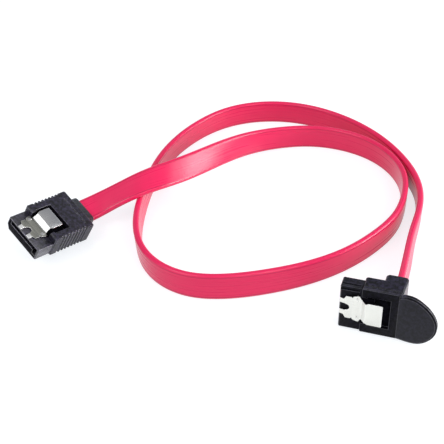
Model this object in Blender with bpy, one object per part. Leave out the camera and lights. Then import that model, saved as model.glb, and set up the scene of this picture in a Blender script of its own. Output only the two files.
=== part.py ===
# Serial data cable: a flat moulded ribbon with a straight latching plug on one end
# and a right-angle latching plug with a pull tab on the other. Metres, +Z up, the
# ribbon stands on its narrow edge on the floor z = 0. Dimensions are millimetres.
import math

import bmesh
import bpy
import numpy as np
from mathutils import Matrix, Vector

for old in list(bpy.data.objects):
    bpy.data.objects.remove(old, do_unlink=True)

MM = 0.001

# Clearances
FIT = 0.25            # between mouldings that sit in each other
SEAT = 0.05           # between the shoulder of a nose and the front of its grip
CONTACT_GAP = 0.18    # between a contact and its groove
LATCH_LIFT = 0.30     # between the spring clip and the nose under it

# Mating nose, the same in both plugs. x runs from the nose to the rear, z out of the
# latch face, y across. x = 0 is the front face of the grip, z = 0 its latch face.
NOSE_OUT = 6.15
NOSE_HALF = 7.25
NOSE_TALL = 4.4
TENON_LONG = 3.5
TENON_HALF = 6.2
TENON_DROP = 0.5          # how far the tenon lies under the latch side
TENON_RISE = 0.35         # and above the lower side
SLOT_WALL = 0.45
SLOT_TALL = 1.25
SLOT_LEG_DEEP = 1.4
SLOT_LEG_Y = (-6.6, -5.2)
SLOT_END_Y = 5.8
SLOT_BLIND = 0.9
CONTACT_COUNT = 7
CONTACT_PITCH = 1.27
CONTACT_WIDE = 0.5
CONTACT_THICK = 0.18
CONTACT_TAIL = 4.6
CONTACT_START = 1.15      # behind the nose's front face
CONTACT_RAMP = (1.55, 2.25, 2.85, 3.75)
CONTACT_RISE = 0.55
GROOVE_START = 0.7
HOLLOW_HALF = 5.0         # half width of the wiring room in the grips

# Spring clip, the same in both plugs: x, half width and height over the plate
CLIP_THICK = 0.25
CLIP_Y = 0.45
CLIP_STATIONS = (
    (-6.00, 2.70, -0.22), (-5.60, 2.70, -0.18),
    (-4.80, 2.70, 0.0), (-4.25, 3.75, 0.0), (-2.70, 3.75, 0.0), (-2.58, 3.50, 0.0),
    (-2.36, 3.50, 0.0), (-2.24, 3.95, 0.0), (-1.00, 4.35, 0.0), (-0.45, 4.35, 0.0),
    (-0.10, 3.60, 0.0), (0.20, 3.30, 0.10), (1.35, 3.25, 1.52), (1.65, 3.30, 1.60),
    (2.30, 3.65, 1.60), (5.80, 3.65, 1.63), (6.08, 3.58, 1.60), (6.20, 3.40, 1.57),
)
CLIP_PRONG = (1.2, 2.7)   # inner and outer edge of each prong from the middle
CLIP_NOTCH_X = -4.2
CLIP_NOTCH_R = 1.0
CLIP_WAIST = 0.35         # from the middle of the notch to the mouth between the prongs
BARB_X = (-2.0, -0.75)    # locking barb on each ear
BARB_Y = (2.75, 3.7)
BARB_RISE = 0.42
PIVOT_X = -5.3

# Window of the clip in the grip
WINDOW_Y = 4.95
WINDOW_FRONT_Y = 4.5
WINDOW_FRONT_X = 1.6

# Straight plug
S_BODY_LONG = 15.8
S_BODY_HALF = 7.8
S_BODY_TALL = 7.4
S_NOSE_TOP = -2.15
S_KEY = (1.2, 1.6)        # bevel along one lower edge of the nose, y and z
S_WINDOW_X = 7.45
S_WINDOW_DEEP = 2.8
S_WINDOW_WALL = 0.45
S_RIB_COUNT = 7
S_RIB_START = 2.6
S_RIB_END = 12.2
S_RIB_DEEP = 0.5
S_LINE = (13.2, 13.6)
S_LINE_Y = (-6.1, 4.9)
S_RELIEF_HALF = 5.1
S_RELIEF_Z = (-6.2, -1.2)
S_RELIEF_ROUND = 1.3
S_RELIEF_FRONT = 9.0
S_RELIEF_REAR = 19.0
S_CABLE_Z = -3.7
S_CABLE_END = 10.6

# Angle plug
A_BODY_LONG = 10.9
A_BODY_HALF = 7.8
A_BOOT_DRAFT = 0.7
A_CORNER = 1.0
A_NOSE_TOP = -0.3
A_KEY = (0.3, 0.3)
A_STEP_Z = -5.7
A_BOOT_LONG = 5.7
A_BOOT_X = A_BODY_LONG - A_BOOT_LONG
A_BOOT_Z = -8.6
A_WINDOW_BACK = 2.9
A_WINDOW_X = A_BODY_LONG - A_WINDOW_BACK
A_WINDOW_DEEP = 1.2
A_WINDOW_WALL = 0.45
A_HOLLOW_Z = -4.9
A_TAB_Z = (-1.3, 0.3)
A_SEAM = (0.3, 0.3)       # height and depth of the groove along both narrow sides
A_SEAM_UNDER = 0.05       # from the underside of the tab down to the groove
A_CABLE_BACK = 2.2
A_CABLE_X = A_BODY_LONG - A_CABLE_BACK
A_CABLE_END = -6.2

# Outline of the pull tab from the body's rear face, round the tip and back
TAB_OUTLINE = (
    (-0.7, 7.20), (0.4, 7.45), (1.7, 7.50), (3.1, 7.25), (4.5, 6.65), (6.2, 5.45),
    (7.8, 4.00), (9.2, 2.05), (10.05, -0.05), (10.2, -1.85), (9.95, -3.55),
    (9.25, -5.10), (8.2, -6.40), (6.9, -7.45), (5.3, -8.10), (3.5, -8.20),
    (1.4, -7.95), (-0.7, -7.55),
)
TAB_STEPS = 2
TAB_RIM = (0.6, 0.4)      # width and depth of the sloping rim on the latch side

# Ribbon
CABLE_WIDE = 8.4
CABLE_THICK = 2.0
CABLE_ROUND = 0.6
CABLE_RINGS = 80
CABLE_IN = (4.5, 1.8)     # straight points inside the relief, from its rear face
CABLE_OUT = 0.8           # and outside it
WIRE_RADIUS = 0.38
DRAIN_RADIUS = 0.16
WIRE_CROWD = 0.8          # pitch in the ribbon against pitch at the contacts

# Where the plugs lie: a point of each plug's frame, the way its x axis aims and the
# way its latch face looks
S_PLACE = (-51.68, 11.88, 12.42)
S_AIM = (0.622, 0.764, -0.172)
S_FACE = (0.425, -0.145, 0.893)
A_PLACE = (41.94, -23.18, 7.98)
A_AIM = (0.947, -0.319, 0.028)
A_FACE = (-0.320, -0.947, 0.032)

# Ribbon centre line from the straight plug to the angle plug: x, y, z and the lean of
# its width from upright in degrees. The two ends are added from the plugs.
ROUTE = (
    (-23.7, 34.4, 11.4, 64.0),
    (-11.8, 42.5, 11.5, 41.0),
    (1.2, 56.8, 8.95, 23.0),
    (13.9, 70.0, 6.0, 11.5),
    (27.1, 76.7, 4.45, 5.0),
    (36.6, 77.7, 4.25, 4.0),
    (47.1, 75.1, 4.25, 3.0),
    (56.4, 68.9, 4.25, 1.0),
    (63.3, 58.3, 4.25, -1.5),
    (65.5, 46.1, 4.25, -1.5),
    (63.6, 35.0, 4.25, 0.0),
    (59.1, 23.7, 4.25, -1.0),
    (51.1, 13.3, 4.25, -2.0),
    (40.7, 4.3, 4.25, -1.5),
    (28.6, -2.3, 4.25, -4.0),
    (16.0, -6.4, 4.25, -7.0),
    (3.7, -8.4, 4.25, -7.0),
    (-6.3, -7.4, 4.25, -5.0),
    (-14.2, -2.9, 4.25, -1.0),
    (-19.8, 4.5, 4.25, 3.0),
    (-22.8, 14.2, 4.25, 5.5),
    (-23.5, 24.1, 4.25, 6.0),
    (-22.9, 34.2, 4.25, 4.0),
    (-21.4, 44.6, 4.25, 0.0),
    (-18.4, 57.5, 4.25, -2.0),
    (-13.0, 70.5, 4.25, -3.5),
    (-4.5, 82.9, 4.25, -3.0),
    (6.0, 91.9, 4.25, 1.0),
    (19.0, 96.2, 4.25, 3.0),
    (33.8, 94.6, 4.25, 3.0),
    (47.8, 86.6, 4.25, 2.0),
    (59.4, 73.5, 4.25, 0.0),
    (66.8, 57.6, 4.25, -2.0),
    (69.6, 42.5, 4.25, -4.0),
    (67.8, 29.2, 4.25, 0.0),
    (63.5, 16.0, 4.45, -3.0),
    (59.4, 2.1, 5.6, -7.0),
)


def material(name, colour, rough, metallic=0.0):
    mat = bpy.data.materials.new(name)
    mat.use_nodes = True
    shader = mat.node_tree.nodes["Principled BSDF"]
    shader.inputs["Base Color"].default_value = (*colour, 1.0)
    shader.inputs["Roughness"].default_value = rough
    shader.inputs["Metallic"].default_value = metallic
    return mat


def empty_at(name, parent, place):
    empty = bpy.data.objects.new(name, None)
    bpy.context.scene.collection.objects.link(empty)
    empty.parent = parent
    empty.location = Vector(place) * MM
    return empty


def plug_frame(name, place, aim, face):
    """Empty whose x axis aims along the plug and whose z axis leaves its latch face."""
    x = Vector(aim).normalized()
    z = Vector(face)
    z = (z - x * z.dot(x)).normalized()
    y = z.cross(x)
    turn = Matrix((x, y, z)).transposed()
    empty = empty_at(name, None, place)
    empty.rotation_euler = turn.to_euler()
    return empty, turn


def shade_smooth(obj):
    """Smooth shading on the skin of a swept round shape, flat on its two end caps."""
    for face in obj.data.polygons:
        face.use_smooth = len(face.vertices) == 4


def add(name, bm, parent=None, mat=None, shift=(0.0, 0.0, 0.0)):
    """New object from millimetre geometry, moved by the shift inside its own mesh."""
    bmesh.ops.recalc_face_normals(bm, faces=bm.faces)
    bmesh.ops.translate(bm, vec=shift, verts=bm.verts)
    bmesh.ops.scale(bm, vec=(MM, MM, MM), verts=bm.verts)
    mesh = bpy.data.meshes.new(name)
    bm.to_mesh(mesh)
    bm.free()
    if mat:
        mesh.materials.append(mat)
    obj = bpy.data.objects.new(name, mesh)
    bpy.context.scene.collection.objects.link(obj)
    obj.parent = parent
    return obj


def loft(sections):
    """Closed skin through rings that have the same number of points."""
    bm = bmesh.new()
    rings = [[bm.verts.new(Vector(point)) for point in ring] for ring in sections]
    bm.faces.new(rings[0])
    bm.faces.new(rings[-1])
    count = len(rings[0])
    for lower, upper in zip(rings[:-1], rings[1:]):
        for i in range(count):
            j = (i + 1) % count
            bm.faces.new((lower[i], lower[j], upper[j], upper[i]))
    return bm


def corner_inward(outline):
    """Way in which each corner moves when the outline shrinks."""
    ahead = np.roll(outline, -1, axis=0) - outline
    behind = outline - np.roll(outline, 1, axis=0)
    turn = np.roll(outline, -1, axis=0)
    area = np.sum(outline[:, 0] * turn[:, 1] - outline[:, 1] * turn[:, 0])
    sign = 1.0 if area > 0 else -1.0
    moves = []
    for a, b in zip(behind, ahead):
        normal_a = np.array((-a[1], a[0])) / np.linalg.norm(a) * sign
        normal_b = np.array((-b[1], b[0])) / np.linalg.norm(b) * sign
        both = normal_a + normal_b
        moves.append(both / max(0.6, float(both @ normal_a)))
    return np.array(moves)


def prism(points, low, high, plane="xy", rim=0.0, inward=None):
    """Polygon drawn in a plane and swept along the third axis, with bevelled rims."""
    outline = np.array(points, float)
    levels = [(low, 0.0), (high, 0.0)]
    if rim:
        levels = [(low, rim), (low + rim, 0.0), (high - rim, 0.0), (high, rim)]
        if inward is None:
            inward = corner_inward(outline)
    sections = []
    for height, inset in levels:
        ring = outline + inward * inset if inset else outline
        if plane == "xy":
            sections.append([(u, v, height) for u, v in ring])
        elif plane == "xz":
            sections.append([(u, height, v) for u, v in ring])
        else:
            sections.append([(height, u, v) for u, v in ring])
    return loft(sections)


def box(x, y, z):
    corners = ((x[0], y[0]), (x[1], y[0]), (x[1], y[1]), (x[0], y[1]))
    return prism(corners, z[0], z[1])


def together(shapes):
    """Several separate shapes in one mesh."""
    out = bmesh.new()
    for bm in shapes:
        piece = bpy.data.meshes.new("piece")
        bm.to_mesh(piece)
        bm.free()
        out.from_mesh(piece)
        bpy.data.meshes.remove(piece)
    return out


def combine(target, bm, name, parent, operation="DIFFERENCE", shift=(0.0, 0.0, 0.0)):
    """Cut the shape out of the target or weld it on."""
    tool = add(name, bm, parent, shift=shift)
    tool.hide_render = True
    tool.display_type = "WIRE"
    step = target.modifiers.new(name, "BOOLEAN")
    step.operation = operation
    step.solver = "EXACT"
    step.object = tool


def contact_y(index):
    return (index - (CONTACT_COUNT - 1) / 2) * CONTACT_PITCH


def contact_low(top):
    """Underside of the contacts of a nose whose latch side lies at top."""
    return top - SLOT_WALL - SLOT_TALL - CONTACT_THICK - CONTACT_GAP


def is_drain(index):
    return index in (0, 3, 6)


NOSE_MAT = material("nose_plastic", (0.030, 0.030, 0.036), 0.42)
GRIP_MAT = material("grip_plastic", (0.027, 0.027, 0.034), 0.50)
RELIEF_MAT = material("relief_plastic", (0.022, 0.025, 0.027), 0.48)
CLIP_MAT = material("clip_steel", (0.80, 0.80, 0.76), 0.26, 1.0)
GOLD_MAT = material("contact_gold", (0.83, 0.60, 0.25), 0.30, 1.0)
WIRE_MAT = material("wire_insulation", (0.75, 0.74, 0.70), 0.45)
DRAIN_MAT = material("drain_copper", (0.72, 0.70, 0.66), 0.35, 1.0)
CABLE_MAT = material("ribbon_jacket", (0.82, 0.035, 0.12), 0.38)


def nose_section(x, half, high, low, key):
    """Outline of the nose across its length, one lower edge bevelled."""
    key_y, key_z = key
    return [(x, -half, high), (x, half, high), (x, half, low + key_z),
            (x, half - key_y, low), (x, -half, low)]


def build_nose(name, plug, top, key):
    """Housing with the L slot, contact grooves and a smaller tenon inside the grip."""
    low = top - NOSE_TALL
    small = (key[0] * 0.6, key[1] * 0.6)
    nose = add(name, loft((
        nose_section(-NOSE_OUT, NOSE_HALF - 0.25, top - 0.2, low + 0.2, key),
        nose_section(-NOSE_OUT + 0.25, NOSE_HALF, top, low, key),
        nose_section(-SEAT, NOSE_HALF, top, low, key),
        nose_section(-SEAT, TENON_HALF, top - TENON_DROP, low + TENON_RISE, small),
        nose_section(TENON_LONG, TENON_HALF, top - TENON_DROP, low + TENON_RISE, small),
    )), plug, NOSE_MAT)
    high = top - SLOT_WALL
    floor = high - SLOT_TALL
    slot = (
        (SLOT_LEG_Y[0], high), (SLOT_END_Y, high), (SLOT_END_Y, floor),
        (SLOT_LEG_Y[1], floor), (SLOT_LEG_Y[1], floor - SLOT_LEG_DEEP),
        (SLOT_LEG_Y[0], floor - SLOT_LEG_DEEP),
    )
    combine(nose, prism(slot, -NOSE_OUT - 1.0, -SLOT_BLIND, plane="yz"), name + "_slot", plug)
    half = CONTACT_WIDE / 2 + CONTACT_GAP
    z = (contact_low(top) - CONTACT_GAP, floor + 0.3)
    grooves = []
    for i in range(CONTACT_COUNT):
        y = contact_y(i)
        grooves.append(box((GROOVE_START - NOSE_OUT, TENON_LONG + 1.0), (y - half, y + half), z))
    combine(nose, together(grooves), name + "_grooves", plug)
    return nose


def build_contacts(tag, plug, top):
    """Spring contacts: flat strip in the groove with a bump up into the slot."""
    low = contact_low(top)
    front = CONTACT_START - NOSE_OUT
    a, b, c, d = (x - NOSE_OUT for x in CONTACT_RAMP)
    high = low + CONTACT_RISE
    path = ((front, low), (a, low), (b, high), (c, high), (d, low), (CONTACT_TAIL, low))
    outline = list(path) + [(x, z + CONTACT_THICK) for x, z in path[::-1]]
    for i in range(CONTACT_COUNT):
        y = contact_y(i)
        strip = prism(outline, y - CONTACT_WIDE / 2, y + CONTACT_WIDE / 2, plane="xz")
        add(f"{tag}_contact_{i + 1}", strip, plug, GOLD_MAT)


def build_clip(tag, plug, top):
    """Sheet steel latch: front prongs, plate with ears, sloping band and finger pad."""
    plate = top + LATCH_LIFT
    pivot = empty_at(f"{tag}_clip_pivot", plug, (PIVOT_X, CLIP_Y, plate))
    shift = (-PIVOT_X, 0.0, 0.0)
    sections = []
    for x, half, z in CLIP_STATIONS:
        sections.append([(x, -half, z), (x, half, z), (x, half, z + CLIP_THICK),
                         (x, -half, z + CLIP_THICK)])
    clip = add(f"{tag}_clip", loft(sections), pivot, CLIP_MAT, shift=shift)
    inner = CLIP_PRONG[0]
    waist = CLIP_NOTCH_X - CLIP_WAIST
    mouth = -2.0 * NOSE_OUT
    notch = []
    for i in range(11):
        angle = math.pi / 2 - math.pi * i / 10
        notch.append((CLIP_NOTCH_X + CLIP_NOTCH_R * math.cos(angle),
                      CLIP_NOTCH_R * math.sin(angle)))
    notch += [(waist, -inner), (mouth, -inner), (mouth, inner), (waist, inner)]
    combine(clip, prism(notch, -2.0 * CLIP_THICK - 1.0, CLIP_THICK + 1.0),
            f"{tag}_clip_notch", pivot, shift=shift)
    slope = ((BARB_X[0], CLIP_THICK / 2), (BARB_X[1], CLIP_THICK / 2),
             (BARB_X[1], CLIP_THICK + BARB_RISE), (BARB_X[1] - 0.35, CLIP_THICK + BARB_RISE))
    barbs = [prism(slope, side * BARB_Y[0], side * BARB_Y[1], "xz") for side in (-1, 1)]
    combine(clip, together(barbs), f"{tag}_clip_barbs", pivot, "UNION", shift)


def tube(points, radius, sides=8):
    """Round rod along a polyline."""
    pts = [Vector(p) for p in points]
    sections = []
    for i, p in enumerate(pts):
        run = (pts[min(i + 1, len(pts) - 1)] - pts[max(i - 1, 0)]).normalized()
        side = run.cross(Vector((0, 1, 0))).normalized()
        other = run.cross(side)
        ring = []
        for k in range(sides):
            turn = 2 * math.pi * k / sides
            ring.append(p + (side * math.cos(turn) + other * math.sin(turn)) * radius)
        sections.append(ring)
    return loft(sections)


def build_wires(tag, plug, way):
    """Cores from the contacts into the ribbon; the way gives x, share of y and z."""
    for i in range(CONTACT_COUNT):
        y = contact_y(i)
        radius = DRAIN_RADIUS if is_drain(i) else WIRE_RADIUS
        mat = DRAIN_MAT if is_drain(i) else WIRE_MAT
        run = [(x, y * share, z) for x, share, z in way]
        shade_smooth(add(f"{tag}_wire_{i + 1}", tube(run, radius), plug, mat))


def cut_window(grip, name, plug, rear, deep):
    """Opening for the clip, narrower where it passes the grip's front."""
    plan = (
        (-1.0, -WINDOW_FRONT_Y), (WINDOW_FRONT_X, -WINDOW_FRONT_Y),
        (WINDOW_FRONT_X, -WINDOW_Y), (rear, -WINDOW_Y), (rear, WINDOW_Y),
        (WINDOW_FRONT_X, WINDOW_Y), (WINDOW_FRONT_X, WINDOW_FRONT_Y), (-1.0, WINDOW_FRONT_Y),
    )
    combine(grip, prism(plan, -deep, 3.0), name, plug)


def cut_socket(grip, name, plug, top):
    """Room for the tenon of the nose."""
    half = TENON_HALF + FIT
    z = (top - NOSE_TALL + TENON_RISE - FIT, top - TENON_DROP + FIT)
    combine(grip, box((-1.0, TENON_LONG + FIT), (-half, half), z), name, plug)


def ribbed_outline():
    """Plan of the straight grip: saw-tooth ribs on both narrow sides."""
    pitch = (S_RIB_END - S_RIB_START) / S_RIB_COUNT
    inner = S_BODY_HALF - S_RIB_DEEP
    side = [(0.0, S_BODY_HALF - 0.45), (0.35, S_BODY_HALF - 0.1),
            (S_RIB_START - 0.2, S_BODY_HALF - 0.1)]
    for i in range(S_RIB_COUNT):
        x = S_RIB_START + pitch * i
        side.append((x, inner))
        side.append((x + pitch * 0.42, inner))
        side.append((x + pitch * 0.62, S_BODY_HALF))
        side.append((x + pitch * 0.86, S_BODY_HALF))
    side.append((S_RIB_END, inner))
    side.append((S_RIB_END + 0.45, inner))
    side.append((S_RIB_END + 0.65, S_BODY_HALF))
    side.append((S_BODY_LONG - 0.4, S_BODY_HALF))
    side.append((S_BODY_LONG, S_BODY_HALF - 0.4))
    return np.array([(x, -y) for x, y in side] + side[::-1])


def rounded(half_u, half_v, radius, steps):
    """Rounded rectangle about the middle."""
    out = []
    for u, v, start in ((1, 1, 0), (-1, 1, 90), (-1, -1, 180), (1, -1, 270)):
        for k in range(steps + 1):
            turn = math.radians(start + 90 / steps * k)
            out.append((u * (half_u - radius) + radius * math.cos(turn),
                        v * (half_v - radius) + radius * math.sin(turn)))
    return out


def smooth_outline(points, steps):
    """Points on a smooth curve through the given ones."""
    out = []
    last = len(points) - 1
    for i in range(last):
        p0, p1, p2, p3 = (np.array(points[min(max(k, 0), last)]) for k in range(i - 1, i + 3))
        for k in range(steps):
            t = k / steps
            out.append(0.5 * (2 * p1 + (p2 - p0) * t + (2 * p0 - 5 * p1 + 4 * p2 - p3) * t ** 2
                              + (3 * p1 - p0 - 3 * p2 + p3) * t ** 3))
    out.append(np.array(points[-1]))
    return out


def eased(before, corner, after, radius, steps=3):
    """Points of an arc that rounds off a corner."""
    corner = np.array(corner, float)
    a = np.array(before) - corner
    b = np.array(after) - corner
    a = a / np.linalg.norm(a)
    b = b / np.linalg.norm(b)
    half = math.acos(float(a @ b)) / 2
    reach = radius / math.tan(half)
    middle = corner + (a + b) / np.linalg.norm(a + b) * radius / math.sin(half)
    start = corner + a * reach - middle
    end = corner + b * reach - middle
    out = []
    for k in range(steps + 1):
        spoke = start * (1 - k / steps) + end * (k / steps)
        spoke = spoke / np.linalg.norm(spoke) * radius
        out.append(tuple(middle + spoke))
    return out


# Straight plug
straight, s_turn = plug_frame("straight_plug", S_PLACE, S_AIM, S_FACE)
build_nose("straight_nose", straight, S_NOSE_TOP, S_KEY)
build_contacts("straight", straight, S_NOSE_TOP)
build_clip("straight", straight, S_NOSE_TOP)

# The ends of the ribbed plan shrink along x and its sides along y
grip_plan = ribbed_outline()
grip_inward = np.stack((
    np.where(grip_plan[:, 0] < 0.4, 1.0, np.where(grip_plan[:, 0] > S_BODY_LONG - 0.1, -1.0, 0.0)),
    -np.sign(grip_plan[:, 1]),
), axis=1)
s_grip = add("straight_grip", prism(grip_plan, -S_BODY_TALL, 0.0, rim=0.25, inward=grip_inward),
             straight, GRIP_MAT)
cut_socket(s_grip, "s_socket", straight, S_NOSE_TOP)
cut_window(s_grip, "s_window", straight, S_WINDOW_X, S_WINDOW_DEEP)
s_hollow_z = (S_RELIEF_Z[0], -S_WINDOW_DEEP - S_WINDOW_WALL)
combine(s_grip, box((TENON_LONG - 1.0, S_RELIEF_FRONT), (-HOLLOW_HALF, HOLLOW_HALF), s_hollow_z),
        "s_hollow", straight)
relief_half = S_RELIEF_HALF + FIT
combine(s_grip, box((S_RELIEF_FRONT - FIT, S_BODY_LONG + 1.0), (-relief_half, relief_half),
                    (S_RELIEF_Z[0] - FIT, S_RELIEF_Z[1] + FIT)), "s_relief_room", straight)
combine(s_grip, box(S_LINE, S_LINE_Y, (-0.35, 1.0)), "s_top_line", straight)

relief_mid = (S_RELIEF_Z[0] + S_RELIEF_Z[1]) / 2
relief_plan = rounded(S_RELIEF_HALF, (S_RELIEF_Z[1] - S_RELIEF_Z[0]) / 2, S_RELIEF_ROUND, 3)
relief_plan = [(y, z + relief_mid) for y, z in relief_plan]
relief = add("straight_relief", prism(relief_plan, S_RELIEF_FRONT, S_RELIEF_REAR, "yz", 0.35),
             straight, RELIEF_MAT)
shade_smooth(relief)
tunnel_y = CABLE_WIDE / 2 + FIT
tunnel_half = CABLE_THICK / 2 + FIT
combine(relief, box((S_RELIEF_FRONT - 1.0, S_RELIEF_REAR + 1.0), (-tunnel_y, tunnel_y),
                    (S_CABLE_Z - tunnel_half, S_CABLE_Z + tunnel_half)), "s_tunnel", straight)
s_core_z = contact_low(S_NOSE_TOP) + CONTACT_THICK / 2
build_wires("straight", straight, (
    (CONTACT_TAIL + 0.2, 1.0, s_core_z), (S_CABLE_END - 0.2, WIRE_CROWD, S_CABLE_Z)))

# Angle plug
angle, a_turn = plug_frame("angle_plug", A_PLACE, A_AIM, A_FACE)
a_nose = build_nose("angle_nose", angle, A_NOSE_TOP, A_KEY)
build_contacts("angle", angle, A_NOSE_TOP)
build_clip("angle", angle, A_NOSE_TOP)

# Guide grooves: one along each narrow side of the nose, one beside the latch
groove_z = (A_NOSE_TOP - 1.75, A_NOSE_TOP - 0.95)
guides = [
    box((-NOSE_OUT - 1.0, -0.6), (NOSE_HALF - 0.35, NOSE_HALF + 1.0), groove_z),
    box((-NOSE_OUT - 1.0, -0.6), (-NOSE_HALF - 1.0, -NOSE_HALF + 0.35), groove_z),
    box((-NOSE_OUT - 1.0, -0.6), (NOSE_HALF - 1.35, NOSE_HALF - 0.75), (A_NOSE_TOP - 0.3, 1.0)),
]
combine(a_nose, together(guides), "angle_nose_guides", angle)

side_view = (
    [(0.0, 0.0), (A_BODY_LONG, 0.0)]
    + eased((A_BODY_LONG, 0.0), (A_BODY_LONG + A_BOOT_DRAFT, A_BOOT_Z), (A_BOOT_X, A_BOOT_Z),
            A_CORNER)
    + eased((A_BODY_LONG, A_BOOT_Z), (A_BOOT_X, A_BOOT_Z), (A_BOOT_X, A_STEP_Z), A_CORNER)
    + [(A_BOOT_X, A_STEP_Z)]
    + eased((A_BOOT_X, A_STEP_Z), (0.0, A_STEP_Z), (0.0, 0.0), A_CORNER * 0.6)
)
a_grip = add("angle_grip", prism(side_view, -A_BODY_HALF, A_BODY_HALF, "xz", 0.35),
             angle, GRIP_MAT)

# Pull tab: a flat tongue with a sloping rim on its latch side
tab_plan = np.array(smooth_outline(TAB_OUTLINE, TAB_STEPS)) + (A_BODY_LONG, 0.0)
tab_inward = corner_inward(tab_plan)
tab_inward[0] = (0.0, -1.0)
tab_inward[-1] = (0.0, 1.0)
tab_rings = []
for height, inset in ((A_TAB_Z[0], FIT), (A_TAB_Z[0] + FIT, 0.0),
                      (A_TAB_Z[1] - TAB_RIM[1], 0.0), (A_TAB_Z[1], TAB_RIM[0])):
    tab_rings.append([(x, y, height) for x, y in tab_plan + tab_inward * inset])
combine(a_grip, loft(tab_rings), "a_tab", angle, operation="UNION")
seam_z = (A_TAB_Z[0] - A_SEAM_UNDER - A_SEAM[0], A_TAB_Z[0] - A_SEAM_UNDER)
seams = []
for y in ((A_BODY_HALF - A_SEAM[1], A_BODY_HALF + 1.0), (-A_BODY_HALF - 1.0, A_SEAM[1] - A_BODY_HALF)):
    seams.append(box((-1.0, A_BODY_LONG + 1.0), y, seam_z))
combine(a_grip, together(seams), "a_seams", angle)
cut_socket(a_grip, "a_socket", angle, A_NOSE_TOP)
cut_window(a_grip, "a_window", angle, A_WINDOW_X, A_WINDOW_DEEP)
tunnel_x = (A_CABLE_X - tunnel_half, A_CABLE_X + tunnel_half)
combine(a_grip, box((TENON_LONG - 1.0, tunnel_x[1]), (-HOLLOW_HALF, HOLLOW_HALF),
                    (A_HOLLOW_Z, -A_WINDOW_DEEP - A_WINDOW_WALL)), "a_hollow", angle)
combine(a_grip, box(tunnel_x, (-tunnel_y, tunnel_y), (A_BOOT_Z - 1.0, A_HOLLOW_Z + 1.0)),
        "a_tunnel", angle)
a_core_z = contact_low(A_NOSE_TOP) + CONTACT_THICK / 2
build_wires("angle", angle, (
    (CONTACT_TAIL + 0.2, 1.0, a_core_z), (CONTACT_TAIL + 1.2, 0.96, a_core_z - 0.15),
    (A_CABLE_X - 1.0, 0.90, a_core_z - 0.6), (A_CABLE_X - 0.2, 0.84, a_core_z - 1.5),
    (A_CABLE_X, WIRE_CROWD, a_core_z - 2.4), (A_CABLE_X, WIRE_CROWD, A_CABLE_END + 0.2)))


def plug_point(place, turn, local):
    return np.array(Vector(place) + turn @ Vector(local))


def lean_of(run, width):
    """Lean of a width direction from upright about its run, in degrees."""
    run = np.array(run)
    side = np.cross(run, (0.0, 0.0, 1.0))
    side = side / np.linalg.norm(side)
    up = np.cross(side, run)
    return math.degrees(math.atan2(-float(np.dot(width, side)), float(np.dot(width, up))))


def natural_spline(knots, values, at):
    """Natural cubic spline through the values."""
    count = len(knots)
    gap = np.diff(knots)
    slope = np.diff(values, axis=0) / gap[:, None]
    system = np.eye(count)
    right = np.zeros((count, values.shape[1]))
    for i in range(1, count - 1):
        system[i, i - 1:i + 2] = (gap[i - 1], 2 * (gap[i - 1] + gap[i]), gap[i])
        right[i] = 6 * (slope[i] - slope[i - 1])
    bend = np.linalg.solve(system, right)
    place = np.clip(np.searchsorted(knots, at) - 1, 0, count - 2)
    h = gap[place][:, None]
    a = (knots[place + 1] - at)[:, None] / h
    b = 1 - a
    return (a * values[place] + b * values[place + 1]
            + ((a ** 3 - a) * bend[place] + (b ** 3 - b) * bend[place + 1]) * h * h / 6)


def ribbon_knots():
    """All route points with the straight ends inside the plugs."""
    s_lean = lean_of(s_turn.col[0], s_turn.col[1])
    a_lean = lean_of(a_turn.col[2], a_turn.col[1])
    points = []
    inside = [S_RELIEF_REAR - reach for reach in CABLE_IN]
    for x in (S_CABLE_END, *inside, S_RELIEF_REAR + CABLE_OUT):
        points.append((*plug_point(S_PLACE, s_turn, (x, 0.0, S_CABLE_Z)), s_lean))
    points += ROUTE
    for z in (A_BOOT_Z - 1.0, A_BOOT_Z + 1.2, A_CABLE_END):
        points.append((*plug_point(A_PLACE, a_turn, (A_CABLE_X, 0.0, z)), a_lean))
    values = np.array(points)
    steps = np.linalg.norm(np.diff(values[:, :3], axis=0), axis=1)
    return np.concatenate(([0.0], np.cumsum(steps))), values


def build_ribbon():
    """Flat cord: a rounded strip swept along the route."""
    knots, values = ribbon_knots()
    at = np.concatenate((knots[:3], np.linspace(knots[3], knots[-3], CABLE_RINGS - 5), knots[-2:]))
    places = natural_spline(knots, values, at)
    ahead = natural_spline(knots, values, np.minimum(at + 0.2, knots[-1]))[:, :3]
    behind = natural_spline(knots, values, np.maximum(at - 0.2, 0.0))[:, :3]
    section = rounded(CABLE_WIDE / 2, CABLE_THICK / 2, CABLE_ROUND, 2)
    sections = []
    for place, front, back in zip(places, ahead, behind):
        run = (front - back) / np.linalg.norm(front - back)
        side = np.cross(run, (0.0, 0.0, 1.0))
        side = side / np.linalg.norm(side)
        up = np.cross(side, run)
        lean = math.radians(place[3])
        width = up * math.cos(lean) - side * math.sin(lean)
        thick = np.cross(run, width)
        sections.append([place[:3] + width * u + thick * v for u, v in section])
    shade_smooth(add("ribbon_cable", loft(sections), None, CABLE_MAT))


build_ribbon()
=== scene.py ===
# Flat serial data cable with a straight and a right-angle latching plug: looks,
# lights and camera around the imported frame. Metres, +Z up, floor at z = 0.
import math

import bmesh
import bpy
import numpy as np
from mathutils import Matrix, Vector


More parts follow.
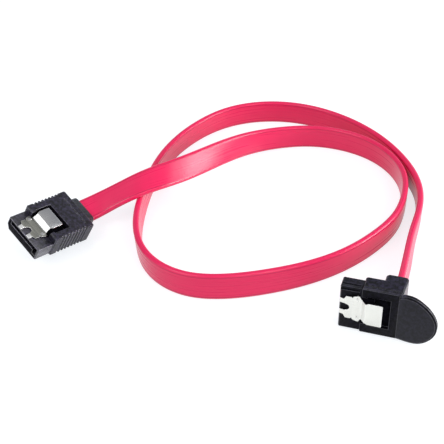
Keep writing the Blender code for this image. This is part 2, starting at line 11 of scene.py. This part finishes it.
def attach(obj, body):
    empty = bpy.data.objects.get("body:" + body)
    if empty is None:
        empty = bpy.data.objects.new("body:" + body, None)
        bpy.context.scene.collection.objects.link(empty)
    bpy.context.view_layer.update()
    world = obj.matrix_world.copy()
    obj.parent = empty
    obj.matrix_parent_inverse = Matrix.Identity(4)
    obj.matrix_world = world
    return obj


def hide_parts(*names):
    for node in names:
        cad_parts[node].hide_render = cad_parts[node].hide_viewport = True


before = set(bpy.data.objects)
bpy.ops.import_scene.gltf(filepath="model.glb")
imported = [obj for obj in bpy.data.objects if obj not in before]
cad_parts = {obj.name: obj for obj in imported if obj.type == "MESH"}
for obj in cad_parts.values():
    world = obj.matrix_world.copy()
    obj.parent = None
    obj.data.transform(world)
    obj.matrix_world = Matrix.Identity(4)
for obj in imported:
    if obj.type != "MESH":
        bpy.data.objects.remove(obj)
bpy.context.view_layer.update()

MM = 0.001

# Camera: how far it looks down, its distance from the point of the floor that it aims at,
# and its focal length for a picture of that width
CAMERA_RISE = math.radians(36.0)
CAMERA_FAR = 0.2975
CAMERA_AIM = (0.0035, 0.0295)
SENSOR = 36.0
FOCAL_PIXELS = 902.4
IMAGE_PIXELS = 444.0

# Where the plugs lie, and the ribbon's route between them, in millimetres
S_PLACE = (-51.68, 11.88, 12.42)
S_AIM = (0.622, 0.764, -0.172)
S_FACE = (0.425, -0.145, 0.893)
A_PLACE = (41.94, -23.18, 7.98)
A_AIM = (0.947, -0.319, 0.028)
A_FACE = (-0.320, -0.947, 0.032)
S_CABLE_Z = -3.7
S_CABLE_END = 10.6
S_RELIEF_REAR = 19.0
A_CABLE_X = 8.7
A_CABLE_END = -6.2
A_BOOT_Z = -8.6
# The ribbon's straight ends pass these places along each plug's own axis
S_ENDS = (S_CABLE_END, S_RELIEF_REAR - 4.5, S_RELIEF_REAR - 1.8, S_RELIEF_REAR + 0.8)
A_ENDS = (A_BOOT_Z - 1.0, A_BOOT_Z + 1.2, A_CABLE_END)

# x, y, z and the lean of the ribbon's width from upright in degrees
ROUTE = (
    (-23.7, 34.4, 11.4, 64.0),
    (-11.8, 42.5, 11.5, 41.0),
    (1.2, 56.8, 8.95, 23.0),
    (13.9, 70.0, 6.0, 11.5),
    (27.1, 76.7, 4.45, 5.0),
    (36.6, 77.7, 4.25, 4.0),
    (47.1, 75.1, 4.25, 3.0),
    (56.4, 68.9, 4.25, 1.0),
    (63.3, 58.3, 4.25, -1.5),
    (65.5, 46.1, 4.25, -1.5),
    (63.6, 35.0, 4.25, 0.0),
    (59.1, 23.7, 4.25, -1.0),
    (51.1, 13.3, 4.25, -2.0),
    (40.7, 4.3, 4.25, -1.5),
    (28.6, -2.3, 4.25, -4.0),
    (16.0, -6.4, 4.25, -7.0),
    (3.7, -8.4, 4.25, -7.0),
    (-6.3, -7.4, 4.25, -5.0),
    (-14.2, -2.9, 4.25, -1.0),
    (-19.8, 4.5, 4.25, 3.0),
    (-22.8, 14.2, 4.25, 5.5),
    (-23.5, 24.1, 4.25, 6.0),
    (-22.9, 34.2, 4.25, 4.0),
    (-21.4, 44.6, 4.25, 0.0),
    (-18.4, 57.5, 4.25, -2.0),
    (-13.0, 70.5, 4.25, -3.5),
    (-4.5, 82.9, 4.25, -3.0),
    (6.0, 91.9, 4.25, 1.0),
    (19.0, 96.2, 4.25, 3.0),
    (33.8, 94.6, 4.25, 3.0),
    (47.8, 86.6, 4.25, 2.0),
    (59.4, 73.5, 4.25, 0.0),
    (66.8, 57.6, 4.25, -2.0),
    (69.6, 42.5, 4.25, -4.0),
    (67.8, 29.2, 4.25, 0.0),
    (63.5, 16.0, 4.45, -3.0),
    (59.4, 2.1, 5.6, -7.0),
)

# Ribbon
CABLE_WIDE = 8.4
CABLE_THICK = 2.0
CABLE_ROUND = 0.9
CABLE_RINGS = 420
CORNER_STEPS = 6
FACE_STEPS = 16
RUN_REACH = 0.2          # to both sides of a ring, for the direction of the path there


cam_data = bpy.data.cameras.new("camera")
cam_data.sensor_width = SENSOR
cam_data.lens = FOCAL_PIXELS / IMAGE_PIXELS * SENSOR
cam_data.clip_start = 0.01
cam_data.clip_end = 50.0
camera = bpy.data.objects.new("camera", cam_data)
bpy.context.scene.collection.objects.link(camera)
camera.location = (CAMERA_AIM[0], CAMERA_AIM[1] - CAMERA_FAR * math.cos(CAMERA_RISE),
                   CAMERA_FAR * math.sin(CAMERA_RISE))
camera.rotation_euler = (math.pi / 2 - CAMERA_RISE, 0.0, 0.0)
bpy.context.scene.camera = camera
bpy.context.scene.view_settings.view_transform = "Standard"


def plug_turn(aim, face):
    """Rotation of a plug: x along the plug, z out of its latch face."""
    x = Vector(aim).normalized()
    z = Vector(face)
    z = (z - x * z.dot(x)).normalized()
    return Matrix((x, z.cross(x), z)).transposed()


S_TURN = plug_turn(S_AIM, S_FACE)
A_TURN = plug_turn(A_AIM, A_FACE)


def plug_point(place, turn, local):
    """A point of a plug's own frame in the shared frame."""
    return np.array(Vector(place) + turn @ Vector(local))


def lean_of(run, width):
    """Lean of a width direction from upright about its run, in degrees."""
    run = np.array(run)
    side = np.cross(run, (0.0, 0.0, 1.0))
    side = side / np.linalg.norm(side)
    up = np.cross(side, run)
    return math.degrees(math.atan2(-float(np.dot(width, side)), float(np.dot(width, up))))


def natural_spline(knots, values, at):
    """Natural cubic spline through the values."""
    count = len(knots)
    gap = np.diff(knots)
    slope = np.diff(values, axis=0) / gap[:, None]
    system = np.eye(count)
    right = np.zeros((count, values.shape[1]))
    for i in range(1, count - 1):
        system[i, i - 1:i + 2] = (gap[i - 1], 2 * (gap[i - 1] + gap[i]), gap[i])
        right[i] = 6 * (slope[i] - slope[i - 1])
    bend = np.linalg.solve(system, right)
    place = np.clip(np.searchsorted(knots, at) - 1, 0, count - 2)
    h = gap[place][:, None]
    a = (knots[place + 1] - at)[:, None] / h
    b = 1 - a
    return (a * values[place] + b * values[place + 1]
            + ((a ** 3 - a) * bend[place] + (b ** 3 - b) * bend[place + 1]) * h * h / 6)


def ribbon_knots():
    """All route points with the straight ends inside the plugs."""
    s_lean = lean_of(S_TURN.col[0], S_TURN.col[1])
    a_lean = lean_of(A_TURN.col[2], A_TURN.col[1])
    points = []
    for x in S_ENDS:
        points.append((*plug_point(S_PLACE, S_TURN, (x, 0.0, S_CABLE_Z)), s_lean))
    points += ROUTE
    for z in A_ENDS:
        points.append((*plug_point(A_PLACE, A_TURN, (A_CABLE_X, 0.0, z)), a_lean))
    values = np.array(points)
    steps = np.linalg.norm(np.diff(values[:, :3], axis=0), axis=1)
    return np.concatenate(([0.0], np.cumsum(steps))), values


def ribbon_section():
    """Outline of the flat cord across its width: u along the width, v the thickness."""
    half_u = CABLE_WIDE / 2
    half_v = CABLE_THICK / 2
    out = []
    for u, v, start in ((1, 1, 0), (-1, 1, 90), (-1, -1, 180), (1, -1, 270)):
        for k in range(CORNER_STEPS + 1):
            turn = math.radians(start + 90 / CORNER_STEPS * k)
            out.append((u * (half_u - CABLE_ROUND) + CABLE_ROUND * math.cos(turn),
                        v * (half_v - CABLE_ROUND) + CABLE_ROUND * math.sin(turn)))
        if v * u > 0:
            for k in range(1, FACE_STEPS):
                out.append((u * (half_u - CABLE_ROUND) * (1 - 2 * k / FACE_STEPS), v * half_v))
    return out


def build_ribbon():
    """Sweep the outline along the route, and return the piece, its path and its length."""
    knots, values = ribbon_knots()
    at = np.linspace(0.0, knots[-1], CABLE_RINGS)
    places = natural_spline(knots, values, at)
    ahead = natural_spline(knots, values, np.minimum(at + RUN_REACH, knots[-1]))[:, :3]
    behind = natural_spline(knots, values, np.maximum(at - RUN_REACH, 0.0))[:, :3]
    section = ribbon_section()
    around = [0.0]
    for a, b in zip(section, section[1:] + section[:1]):
        around.append(around[-1] + math.dist(a, b))
    bm = bmesh.new()
    uv = bm.loops.layers.uv.new("run")
    rings = []
    for place, front, back in zip(places, ahead, behind):
        run = (front - back) / np.linalg.norm(front - back)
        side = np.cross(run, (0.0, 0.0, 1.0))
        side = side / np.linalg.norm(side)
        up = np.cross(side, run)
        lean = math.radians(place[3])
        width = up * math.cos(lean) - side * math.sin(lean)
        thick = np.cross(run, width)
        rings.append([bm.verts.new((place[:3] + width * u + thick * v) * MM)
                      for u, v in section])
    count = len(section)
    for r in range(len(rings) - 1):
        for i in range(count):
            j = (i + 1) % count
            face = bm.faces.new((rings[r][i], rings[r][j], rings[r + 1][j], rings[r + 1][i]))
            face.smooth = True
            corners = ((r, i), (r, i + 1), (r + 1, i + 1), (r + 1, i))
            for loop, (row, col) in zip(face.loops, corners):
                loop[uv].uv = (at[row] * MM, around[col] * MM)
    bm.faces.new(rings[0])
    bm.faces.new(rings[-1][::-1])
    bmesh.ops.recalc_face_normals(bm, faces=bm.faces)
    mesh = bpy.data.meshes.new("ribbon_jacket")
    bm.to_mesh(mesh)
    bm.free()
    obj = bpy.data.objects.new("ribbon_jacket", mesh)
    bpy.context.scene.collection.objects.link(obj)
    steps = np.linalg.norm(np.diff(places[:, :3], axis=0), axis=1)
    return obj, places[:, :3] * MM, float(steps.sum()) * MM


ribbon, ribbon_path, ribbon_length = build_ribbon()
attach(ribbon, "cable")
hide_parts("ribbon_cable")


# Darker lines of painted shade where the flat faces meet the rounded edges of the ribbon,
# placed by their distance around its outline
ARC = math.pi / 2 * CABLE_ROUND
FLAT = CABLE_WIDE - 2 * CABLE_ROUND
SIDE = CABLE_THICK - 2 * CABLE_ROUND
RIBBON_AROUND = 4 * ARC + 2 * FLAT + 2 * SIDE
RIBBON_LINES = (ARC, ARC + FLAT, 3 * ARC + FLAT + SIDE, 3 * ARC + 2 * FLAT + SIDE)
LINE_HALF = 0.22
LINE_SHADE = 0.64


class Nodes:
    """Short way to wire up a material."""

    def __init__(self, name):
        self.mat = bpy.data.materials.new(name)
        self.mat.use_nodes = True
        self.tree = self.mat.node_tree
        self.shader = self.tree.nodes["Principled BSDF"]

    def set(self, **values):
        """Values of the shader's own sockets, with underscores for spaces."""
        for key, value in values.items():
            self.shader.inputs[key.replace("_", " ")].default_value = value
        return self

    def node(self, kind, inputs=None, **settings):
        """Add a node: a socket among its inputs is linked, and a value is set."""
        made = self.tree.nodes.new("ShaderNode" + kind)
        for key, value in settings.items():
            setattr(made, key, value)
        for key, value in (inputs or {}).items():
            if isinstance(value, bpy.types.NodeSocket):
                self.tree.links.new(value, made.inputs[key])
            else:
                made.inputs[key].default_value = value
        return made

    def link(self, out, into):
        """Join an output to an input."""
        self.tree.links.new(out, into)


def ramp(nodes, fac, stops):
    """Colour ramp through (position, value or colour) stops."""
    made = nodes.node("ValToRGB", {"Fac": fac})
    elements = made.color_ramp.elements
    elements[0].position = stops[0][0]
    elements[1].position = stops[-1][0]
    for place, _ in stops[1:-1]:
        elements.new(place)
    for element, (_, value) in zip(elements, stops):
        element.color = (*value, 1.0) if isinstance(value, tuple) else (value, value, value, 1.0)
    return made.outputs["Color"]


def plastic(name, colour, rough, shine, grain_size, grain_bump, mottle=1.0):
    """Moulded plastic with a fine grain and slight mottling; sizes are in metres."""
    n = Nodes(name).set(Roughness=rough, Specular_IOR_Level=shine)
    where = n.node("TexCoord").outputs["Object"]
    grain = n.node("TexNoise", {"Vector": where, "Scale": 1.0 / grain_size, "Detail": 3.0,
                                "Roughness": 0.6}).outputs["Fac"]
    patch = n.node("TexNoise", {"Vector": where, "Scale": 1100.0, "Detail": 4.0,
                                "Roughness": 0.65}).outputs["Fac"]
    dark = tuple(c * (1.0 - 0.5 * mottle) for c in colour)
    light = tuple(c * (1.0 + k * mottle) for c, k in zip(colour, (1.1, 0.9, 1.5)))
    n.link(ramp(n, patch, ((0.41, dark), (0.60, light))), n.shader.inputs["Base Color"])
    low, high = max(0.05, rough - 0.1), rough + 0.1
    n.link(ramp(n, grain, ((0.3, low), (0.7, high))), n.shader.inputs["Roughness"])
    first = n.node("Bump", {"Height": patch, "Strength": grain_bump, "Distance": 0.00008})
    bump = n.node("Bump", {"Height": grain, "Strength": grain_bump, "Distance": 0.00004,
                           "Normal": first.outputs["Normal"]})
    n.link(bump.outputs["Normal"], n.shader.inputs["Normal"])
    return n.mat


def steel(name, colour, rough, run):
    """Rolled spring steel with fine lines along the plug."""
    n = Nodes(name).set(Metallic=1.0, Roughness=rough)
    where = n.node("TexCoord").outputs["Object"]
    turned = n.node("VectorRotate", {"Vector": where}, rotation_type="EULER_XYZ", invert=True)
    turned.inputs["Rotation"].default_value = run.to_euler()
    stretched = n.node("Mapping", {"Vector": turned.outputs["Vector"]})
    stretched.inputs["Scale"].default_value = (150.0, 2600.0, 2600.0)
    lines = n.node("TexNoise", {"Vector": stretched.outputs["Vector"], "Scale": 1.0,
                                "Detail": 2.0}).outputs["Fac"]
    dark = tuple(c * 0.97 for c in colour)
    n.link(ramp(n, lines, ((0.3, dark), (0.7, colour))), n.shader.inputs["Base Color"])
    n.link(ramp(n, lines, ((0.3, rough * 0.9), (0.7, rough * 1.15))), n.shader.inputs["Roughness"])
    bump = n.node("Bump", {"Height": lines, "Strength": 0.004, "Distance": 0.00001})
    n.link(bump.outputs["Normal"], n.shader.inputs["Normal"])
    return n.mat


def jacket():
    """Extruded ribbon jacket: satin, with faint draw lines along its run and lines of painted shade
    where its faces meet its rounded edges.
    """
    n = Nodes("ribbon_jacket").set(Roughness=0.29, Specular_IOR_Level=0.5)
    uv = n.node("UVMap", uv_map="run").outputs["UV"]
    stretched = n.node("Mapping", {"Vector": uv})
    stretched.inputs["Scale"].default_value = (24.0, 1500.0, 1.0)
    lines = n.node("TexNoise", {"Vector": stretched.outputs["Vector"], "Scale": 1.0, "Detail": 2.0,
                                "Roughness": 0.5}).outputs["Fac"]
    where = n.node("TexCoord").outputs["Object"]
    grain = n.node("TexNoise", {"Vector": where, "Scale": 2600.0, "Detail": 2.0}).outputs["Fac"]
    tint = ramp(n, lines, ((0.25, (0.78, 0.009, 0.094)), (0.5, (0.81, 0.010, 0.099)),
                           (0.75, (0.84, 0.011, 0.105))))
    round_it = n.node("SeparateXYZ", {0: uv}).outputs["Y"]
    share = n.node("Math", {0: round_it, 1: 1.0 / (RIBBON_AROUND * MM)}, operation="MULTIPLY")
    stops = [(0.0, 1.0)]
    for line in RIBBON_LINES:
        for reach, value in ((-LINE_HALF, 1.0), (0.0, LINE_SHADE), (LINE_HALF, 1.0)):
            stops.append(((line + reach) / RIBBON_AROUND, value))
    stops.append((1.0, 1.0))
    shade = ramp(n, share.outputs[0], stops)
    mixed = n.node("Mix", {"Factor": 1.0, "A": tint, "B": shade}, data_type="RGBA",
                   blend_type="MULTIPLY")
    n.link(mixed.outputs["Result"], n.shader.inputs["Base Color"])
    n.link(ramp(n, lines, ((0.3, 0.255), (0.7, 0.335))), n.shader.inputs["Roughness"])
    first = n.node("Bump", {"Height": lines, "Strength": 0.05, "Distance": 0.00004})
    second = n.node("Bump", {"Height": grain, "Strength": 0.10, "Distance": 0.00003,
                             "Normal": first.outputs["Normal"]})
    n.link(second.outputs["Normal"], n.shader.inputs["Normal"])
    return n.mat


def plated(name, colour, rough):
    """Plated or tinned metal with slight mottling."""
    n = Nodes(name).set(Metallic=1.0, Roughness=rough)
    where = n.node("TexCoord").outputs["Object"]
    mottle = n.node("TexNoise", {"Vector": where, "Scale": 1500.0, "Detail": 3.0}).outputs["Fac"]
    dark = tuple(c * 0.8 for c in colour)
    n.link(ramp(n, mottle, ((0.35, dark), (0.65, colour))), n.shader.inputs["Base Color"])
    n.link(ramp(n, mottle, ((0.3, rough * 0.8), (0.7, rough * 1.2))), n.shader.inputs["Roughness"])
    return n.mat


S_NOSE = plastic("nose_plastic", (0.020, 0.020, 0.024), 0.34, 1.0, 0.00020, 0.3)
# Painted shade: a darker copy of the nose plastic for its front (its dullness is its finish)
S_FRONT_SHADED = plastic("nose_front_shaded_plastic", (0.004, 0.004, 0.005), 0.50, 0.06, 0.00020, 0.3)
# Painted light: a lighter copy of the nose plastic for its narrow sides
S_SIDE_LIT = plastic("nose_side_lit_plastic", (0.060, 0.060, 0.066), 0.30, 1.0, 0.00020, 0.2)
S_GRIP = plastic("grip_plastic", (0.011, 0.011, 0.015), 0.44, 0.45, 0.00022, 0.8, 1.5)
A_NOSE = plastic("angle_nose_plastic", (0.009, 0.009, 0.012), 0.40, 0.22, 0.00020, 0.3)
A_GRIP = plastic("angle_grip_plastic", (0.009, 0.009, 0.013), 0.46, 0.24, 0.00022, 0.8, 1.5)
# Painted shade: a darker copy of the angle plug's plastic for its latch face, nose top and tab rim
A_SHADED = plastic("angle_shaded_plastic", (0.0045, 0.0045, 0.006), 0.48, 0.08, 0.00022, 0.8, 0.8)
A_TAB = plastic("tab_plastic", (0.012, 0.012, 0.016), 0.46, 0.22, 0.00022, 0.5, 0.4)
A_END = plastic("boot_end_plastic", (0.014, 0.014, 0.016), 0.26, 0.7, 0.00022, 0.1)
# Painted highlight: lighter plastic on the rounded edges of the straight plug (its gloss is its
# finish)
EDGE = plastic("edge_painted_highlight", (0.038, 0.038, 0.045), 0.26, 1.0, 0.00030, 0.1)
# Painted highlight: lighter plastic on the rounded edges of the angle plug
A_EDGE = plastic("angle_edge_painted_highlight", (0.014, 0.014, 0.018), 0.34, 0.55, 0.00030, 0.1)
# Painted shade: near-black plastic inside windows, slots, grooves and seams
CAVITY_SHADE = plastic("cavity_painted_shade", (0.003, 0.003, 0.004), 0.8, 0.05, 0.00020, 0.1)
RELIEF = plastic("relief_plastic", (0.011, 0.014, 0.015), 0.33, 0.8, 0.00022, 0.3)
GOLD = plated("contact_gold", (0.83, 0.60, 0.25), 0.28)
INSULATION = plastic("wire_insulation", (0.72, 0.71, 0.67), 0.45, 0.5, 0.00015, 0.1)
DRAIN = plated("drain_copper", (0.72, 0.70, 0.66), 0.35)
CONTACT_REAR_GREY = plated("contact_rear_grey", (0.20, 0.20, 0.20), 0.55)
S_STEEL = steel("straight_clip_steel", (0.62, 0.62, 0.62), 0.24, S_TURN)
S_PLATE = steel("straight_plate_steel", (0.44, 0.44, 0.385), 0.26, S_TURN)
A_STEEL = steel("angle_clip_steel", (0.75, 0.75, 0.70), 0.24, A_TURN)
# Painted highlight: lighter steel on the straight clip's prongs and on both clips' edges
LIT_STEEL = steel("steel_painted_highlight", (0.92, 0.92, 0.90), 0.42, S_TURN)
JACKET = jacket()


def dress(node, *mats, place=None, turn=None, rule=None):
    """Give a CAD node its materials; the rule picks one for each face in the plug's frame."""
    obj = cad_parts[node]
    obj.data.materials.clear()
    for mat in mats:
        obj.data.materials.append(mat)
    if rule:
        back = turn.transposed()
        for face in obj.data.polygons:
            face.material_index = rule(back @ (face.center / MM - Vector(place)),
                                       back @ face.normal)
    return obj


def soften(obj, width, edge_highlight):
    """Small rounded edges on a moulded or cut piece, in a lighter material that paints a highlight
    along them.
    """
    obj.data.materials.append(edge_highlight)
    for face in obj.data.polygons:
        face.use_smooth = True
    weld = obj.modifiers.new("weld", "WELD")
    weld.merge_threshold = 0.000002
    edge = obj.modifiers.new("edge", "BEVEL")
    edge.width = width
    edge.segments = 2
    edge.limit_method = "ANGLE"
    edge.angle_limit = math.radians(32)
    edge.harden_normals = True
    edge.use_clamp_overlap = False
    edge.material = len(obj.data.materials) - 1


# The rules below take a face's middle and normal in the plug's frame, in millimetres,
# and return the place of its material in the list of the dress() call. A cavity is a
# room (span along x, half width, span in height) that holds the middles of its faces,
# which get painted shade.
FACING = 0.9             # a normal this close to an axis faces along it
FLAT_UP = 0.97
NOSE_FRONT = -5.85
NOSE_SIDE = 7.0
SLOT_HALF = 6.65
S_GRIP_ROOM = ((0.02, 7.6), 5.1, (-7.1, -0.05))
A_GRIP_ROOM = ((0.02, 8.1), 5.1, (-4.95, -0.05))
A_SEAM_DEPTH = (7.45, 7.79)
A_SEAM_HEIGHT = (-1.66, -1.34)
S_SLOT = (-5.2, -2.5)
A_SLOT = (-3.35, -0.65)
A_SIDE_GUIDE = ((6.85, 7.2), (-2.06, -1.24))
A_TOP_GUIDE = ((5.85, 6.55), (-0.61, -0.31))
TAB_ROOT = 12.2          # the tab lies behind this place, or over the latch face
TAB_RISE = 0.2
LATCH_FACE = -0.1
BOOT_END = (10.5, -1.4)
CONTACT_REAR = 2.0
PRONGS_REAR = -4.9
PLATE_REAR = -0.2
PLATE_FLAT = 0.99


def within(value, span):
    """Whether a value lies inside a span."""
    return span[0] < value < span[1]


def in_room(at, room):
    """Whether a place lies in a room."""
    return within(at.x, room[0]) and abs(at.y) < room[1] and within(at.z, room[2])


def s_grip_shade(at, normal):
    """Window, socket and hollow get painted shade; the outside is grained."""
    return 1 if in_room(at, S_GRIP_ROOM) else 0


def a_grip_finish_and_shade(at, normal):
    """The window, hollow and seam get painted shade, and so do the latch face and the tab's rim, in
    a darker plastic; the latch face and the tab are smoother than the rest, and the boot's end is
    glossy.
    """
    seam = within(abs(at.y), A_SEAM_DEPTH) and within(at.z, A_SEAM_HEIGHT)
    if seam or in_room(at, A_GRIP_ROOM):
        return 1
    if at.x > TAB_ROOT or at.z > TAB_RISE:
        return 3 if normal.z < FLAT_UP else 4
    if normal.z > FLAT_UP and at.z > LATCH_FACE:
        return 3
    return 2 if normal.x > FACING and at.x > BOOT_END[0] and at.z < BOOT_END[1] else 0


def contact_finish(at, normal):
    """The rear end of each contact is a dim grey metal."""
    return 1 if at.x > CONTACT_REAR else 0


def s_clip_finish_and_highlight(at, normal):
    """The prongs get a lighter steel as a painted highlight, and the plate behind them is duller
    than the finger pad.
    """
    if at.x < PRONGS_REAR:
        return 2
    return 1 if at.x < PLATE_REAR and normal.z > PLATE_FLAT else 0


def s_nose_finish_and_light(at, normal):
    """The slot and its grooves get painted shade, the front is duller and is darker as painted
    shade, and the narrow sides are lighter as painted light.
    """
    if abs(at.y) < SLOT_HALF and at.x >= NOSE_FRONT and within(at.z, S_SLOT):
        return 1
    if normal.x < -FACING:
        return 2
    return 3 if abs(normal.y) > FACING and abs(at.y) > NOSE_SIDE else 0


def a_nose_finish_and_shade(at, normal):
    """The slot, the contact grooves and the guide grooves get painted shade inside, and so do the
    flat top faces, in a darker plastic.
    """
    slot = abs(at.y) < SLOT_HALF and at.x >= NOSE_FRONT and within(at.z, A_SLOT)
    side_guide = within(abs(at.y), A_SIDE_GUIDE[0]) and within(at.z, A_SIDE_GUIDE[1])
    top_guide = within(at.y, A_TOP_GUIDE[0]) and within(at.z, A_TOP_GUIDE[1])
    if slot or side_guide or top_guide:
        return 1
    return 2 if normal.z > FLAT_UP else 0


# Widths of the rounded edges, in metres
NOSE_EDGE = 0.00014
GRIP_EDGE = 0.00010
RELIEF_EDGE = 0.00012
ANGLE_NOSE_EDGE = 0.00011
ANGLE_GRIP_EDGE = 0.00012
STEEL_EDGE = 0.00007
DRAIN_WIRES = (1, 4, 7)

ribbon.data.materials.append(JACKET)
PLUGS = {"straight": (S_PLACE, S_TURN), "angle": (A_PLACE, A_TURN)}
soften(dress("straight_nose", S_NOSE, CAVITY_SHADE, S_FRONT_SHADED, S_SIDE_LIT, place=S_PLACE, turn=S_TURN,
             rule=s_nose_finish_and_light), NOSE_EDGE, EDGE)
soften(dress("angle_nose", A_NOSE, CAVITY_SHADE, A_SHADED, place=A_PLACE, turn=A_TURN,
             rule=a_nose_finish_and_shade), ANGLE_NOSE_EDGE, A_EDGE)
soften(dress("straight_grip", S_GRIP, CAVITY_SHADE, place=S_PLACE, turn=S_TURN, rule=s_grip_shade),
       GRIP_EDGE, EDGE)
soften(dress("angle_grip", A_GRIP, CAVITY_SHADE, A_END, A_SHADED, A_TAB, place=A_PLACE, turn=A_TURN,
             rule=a_grip_finish_and_shade), ANGLE_GRIP_EDGE, A_EDGE)
for tag, (place, turn) in PLUGS.items():
    for i in range(1, 8):
        dress(f"{tag}_contact_{i}", GOLD, CONTACT_REAR_GREY, place=place, turn=turn, rule=contact_finish)
        dress(f"{tag}_wire_{i}", DRAIN if i in DRAIN_WIRES else INSULATION)
soften(dress("straight_relief", RELIEF), RELIEF_EDGE, EDGE)
soften(dress("straight_clip", S_STEEL, S_PLATE, LIT_STEEL, place=S_PLACE, turn=S_TURN,
             rule=s_clip_finish_and_highlight), STEEL_EDGE, LIT_STEEL)
soften(dress("angle_clip", A_STEEL), STEEL_EDGE, LIT_STEEL)


# Floor and lights
FLOOR_HALF = 12.0
FLOOR_GLOW = 0.76
WORLD_GLOW = 0.96


def floor():
    """White floor: camera and mirror rays see it glow, and it keeps the shadow."""
    mesh = bpy.data.meshes.new("floor")
    half = FLOOR_HALF
    mesh.from_pydata([(-half, -half, 0), (half, -half, 0), (half, half, 0), (-half, half, 0)],
                     [], [(0, 1, 2, 3)])
    obj = bpy.data.objects.new("floor", mesh)
    bpy.context.scene.collection.objects.link(obj)
    n = Nodes("floor_white").set(Roughness=0.25)
    path = n.node("LightPath").outputs
    seen = n.node("Math", {0: path["Is Camera Ray"], 1: path["Is Glossy Ray"]}, operation="MAXIMUM")
    seen = n.node("Math", {0: seen.outputs[0], 1: path["Is Transmission Ray"]},
                  operation="MAXIMUM")
    tone = n.node("Mix", {"Factor": seen.outputs[0]}, data_type="RGBA")
    tone.inputs["A"].default_value = (0.66, 0.66, 0.67, 1.0)
    tone.inputs["B"].default_value = (0.42, 0.42, 0.42, 1.0)
    n.link(tone.outputs["Result"], n.shader.inputs["Base Color"])
    glow = n.node("Math", {0: seen.outputs[0], 1: FLOOR_GLOW}, operation="MULTIPLY")
    n.shader.inputs["Emission Color"].default_value = (0.94, 0.97, 1.0, 1.0)
    n.link(glow.outputs[0], n.shader.inputs["Emission Strength"])
    mesh.materials.append(n.mat)


def area(name, place, aim, size, power):
    """Soft rectangular lamp that looks at a point."""
    data = bpy.data.lights.new(name, "AREA")
    data.shape = "RECTANGLE"
    data.size, data.size_y = size
    data.energy = power
    obj = bpy.data.objects.new(name, data)
    bpy.context.scene.collection.objects.link(obj)
    obj.location = place
    obj.rotation_euler = (Vector(aim) - Vector(place)).to_track_quat("-Z", "Y").to_euler()


def surroundings():
    """Pale room: bright at the floor line, dimmer at the sides and lighter overhead."""
    world = bpy.data.worlds.new("studio")
    bpy.context.scene.world = world
    world.use_nodes = True
    tree = world.node_tree
    back = tree.nodes["Background"]
    coords = tree.nodes.new("ShaderNodeTexCoord")
    split = tree.nodes.new("ShaderNodeSeparateXYZ")
    tree.links.new(coords.outputs["Generated"], split.inputs[0])
    shade = tree.nodes.new("ShaderNodeValToRGB")
    tree.links.new(split.outputs["Z"], shade.inputs["Fac"])
    elements = shade.color_ramp.elements
    elements[0].position = 0.0
    elements[0].color = (0.90, 0.93, 1.0, 1.0)
    elements[1].position = 1.0
    elements[1].color = (0.62, 0.62, 0.63, 1.0)
    middle = elements.new(0.55)
    middle.color = (0.34, 0.35, 0.38, 1.0)
    tree.links.new(shade.outputs["Color"], back.inputs["Color"])
    back.inputs["Strength"].default_value = WORLD_GLOW


floor()
surroundings()
area("front_right", (0.26, -0.36, 0.42), (0.0, 0.03, 0.01), (0.24, 0.22), 0.78)
area("front_left", (-0.33, -0.24, 0.46), (-0.03, 0.02, 0.01), (0.40, 0.30), 1.30)
area("side_low", (0.545, 0.02, 0.12), (0.0, 0.04, 0.01), (0.28, 0.20), 1.15)
area("side_high", (0.56, 0.02, 0.22), (0.0, 0.04, 0.01), (0.32, 0.42), 1.25)
